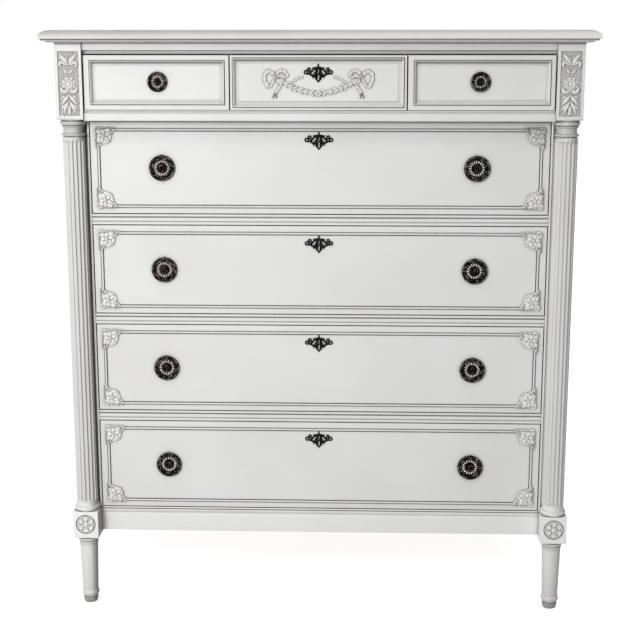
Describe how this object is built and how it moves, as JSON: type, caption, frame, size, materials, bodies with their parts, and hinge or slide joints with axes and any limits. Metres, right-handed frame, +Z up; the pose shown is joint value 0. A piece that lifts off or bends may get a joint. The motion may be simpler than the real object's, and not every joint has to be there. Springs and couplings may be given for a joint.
{
  "type": "chest of drawers",
  "caption": "Painted chest with small drawers over full-width drawers, fluted front columns, turned legs, carved blocks, beaded ring pulls and pierced escutcheons.",
  "frame": {"origin": "on the floor, under the middle of the top", "axes": "+Z up, the drawers open towards -Y, +X to the right of someone facing the front"},
  "size_m": [1.067, 0.533, 1.177],
  "materials": {
    "paint": "chalky off-white paint over carved wood, worn at edges, darker wash in the crevices",
    "top_paint": "chalky warm grey-white paint, rubbed along the nose",
    "bare_wood": "unfinished planed secondary wood",
    "board": "unfinished thin panel",
    "antique_brass": "nearly black aged brass, rubbed bright on the beads"
  },
  "bodies": {
    "case": {"top_panel": "top_paint", "top_moulding": "top_paint", "front_post_left": "paint", "front_post_right": "paint", "rear_posts": "paint", "side_panels": "paint", "back_panel": "board", "top_rail": "paint", "frieze_rail": "paint", "drawer_rails": "paint", "apron": "paint", "front_stiles": "paint", "dust_board": "bare_wood", "frieze_dividers": "bare_wood", "rear_rails": "bare_wood", "drawer_runners": "bare_wood", "drawer_guides": "bare_wood", "drawer_stops": "bare_wood"},
    "large_4": {"large_4_front": "paint", "large_4_box": "bare_wood", "large_4_bottom": "board", "large_4_pull_plates": "antique_brass", "large_4_escutcheon": "antique_brass"},
    "large_4_ring_left": {"large_4_ring_left": "antique_brass"},
    "large_4_ring_right": {"large_4_ring_right": "antique_brass"},
    "large_3": {"large_3_front": "paint", "large_3_box": "bare_wood", "large_3_bottom": "board", "large_3_pull_plates": "antique_brass", "large_3_escutcheon": "antique_brass"},
    "large_3_ring_left": {"large_3_ring_left": "antique_brass"},
    "large_3_ring_right": {"large_3_ring_right": "antique_brass"},
    "large_2": {"large_2_front": "paint", "large_2_box": "bare_wood", "large_2_bottom": "board", "large_2_pull_plates": "antique_brass", "large_2_escutcheon": "antique_brass"},
    "large_2_ring_left": {"large_2_ring_left": "antique_brass"},
    "large_2_ring_right": {"large_2_ring_right": "antique_brass"},
    "large_1": {"large_1_front": "paint", "large_1_box": "bare_wood", "large_1_bottom": "board", "large_1_pull_plates": "antique_brass", "large_1_escutcheon": "antique_brass"},
    "large_1_ring_left": {"large_1_ring_left": "antique_brass"},
    "large_1_ring_right": {"large_1_ring_right": "antique_brass"},
    "small_left": {"small_left_front": "paint", "small_left_box": "bare_wood", "small_left_bottom": "board", "small_left_pull_plate": "antique_brass"},
    "small_left_ring": {"small_left_ring": "antique_brass"},
    "small_centre": {"small_centre_front": "paint", "small_centre_box": "bare_wood", "small_centre_bottom": "board", "small_centre_escutcheon": "antique_brass"},
    "small_right": {"small_right_front": "paint", "small_right_box": "bare_wood", "small_right_bottom": "board", "small_right_pull_plate": "antique_brass"},
    "small_right_ring": {"small_right_ring": "antique_brass"}
  },
  "joints": [
    {"name": "large_4_slide", "type": "slide", "parent": "case", "child": "large_4", "axis": [0, -1, 0], "range_m": [0, 0.34]},
    {"name": "large_4_ring_left_swing", "type": "hinge", "parent": "large_4", "child": "large_4_ring_left", "pos_m": [-0.311, -0.2058, 0.3215], "axis": [-1, 0, 0], "range_deg": [0, 105]},
    {"name": "large_4_ring_right_swing", "type": "hinge", "parent": "large_4", "child": "large_4_ring_right", "pos_m": [0.311, -0.2058, 0.3215], "axis": [-1, 0, 0], "range_deg": [0, 105]},
    {"name": "large_3_slide", "type": "slide", "parent": "case", "child": "large_3", "axis": [0, -1, 0], "range_m": [0, 0.34]},
    {"name": "large_3_ring_left_swing", "type": "hinge", "parent": "large_3", "child": "large_3_ring_left", "pos_m": [-0.311, -0.2058, 0.5275], "axis": [-1, 0, 0], "range_deg": [0, 105]},
    {"name": "large_3_ring_right_swing", "type": "hinge", "parent": "large_3", "child": "large_3_ring_right", "pos_m": [0.311, -0.2058, 0.5275], "axis": [-1, 0, 0], "range_deg": [0, 105]},
    {"name": "large_2_slide", "type": "slide", "parent": "case", "child": "large_2", "axis": [0, -1, 0], "range_m": [0, 0.34]},
    {"name": "large_2_ring_left_swing", "type": "hinge", "parent": "large_2", "child": "large_2_ring_left", "pos_m": [-0.311, -0.2058, 0.7305], "axis": [-1, 0, 0], "range_deg": [0, 105]},
    {"name": "large_2_ring_right_swing", "type": "hinge", "parent": "large_2", "child": "large_2_ring_right", "pos_m": [0.311, -0.2058, 0.7305], "axis": [-1, 0, 0], "range_deg": [0, 105]},
    {"name": "large_1_slide", "type": "slide", "parent": "case", "child": "large_1", "axis": [0, -1, 0], "range_m": [0, 0.34]},
    {"name": "large_1_ring_left_swing", "type": "hinge", "parent": "large_1", "child": "large_1_ring_left", "pos_m": [-0.311, -0.2058, 0.9345], "axis": [-1, 0, 0], "range_deg": [0, 105]},
    {"name": "large_1_ring_right_swing", "type": "hinge", "parent": "large_1", "child": "large_1_ring_right", "pos_m": [0.311, -0.2058, 0.9345], "axis": [-1, 0, 0], "range_deg": [0, 105]},
    {"name": "small_left_slide", "type": "slide", "parent": "case", "child": "small_left", "axis": [0, -1, 0], "range_m": [0, 0.34]},
    {"name": "small_left_ring_swing", "type": "hinge", "parent": "small_left", "child": "small_left_ring", "pos_m": [-0.311, -0.2364, 1.09688], "axis": [-1, 0, 0], "range_deg": [0, 105]},
    {"name": "small_centre_slide", "type": "slide", "parent": "case", "child": "small_centre", "axis": [0, -1, 0], "range_m": [0, 0.34]},
    {"name": "small_right_slide", "type": "slide", "parent": "case", "child": "small_right", "axis": [0, -1, 0], "range_m": [0, 0.34]},
    {"name": "small_right_ring_swing", "type": "hinge", "parent": "small_right", "child": "small_right_ring", "pos_m": [0.311, -0.2364, 1.09688], "axis": [-1, 0, 0], "range_deg": [0, 105]}
  ]
}
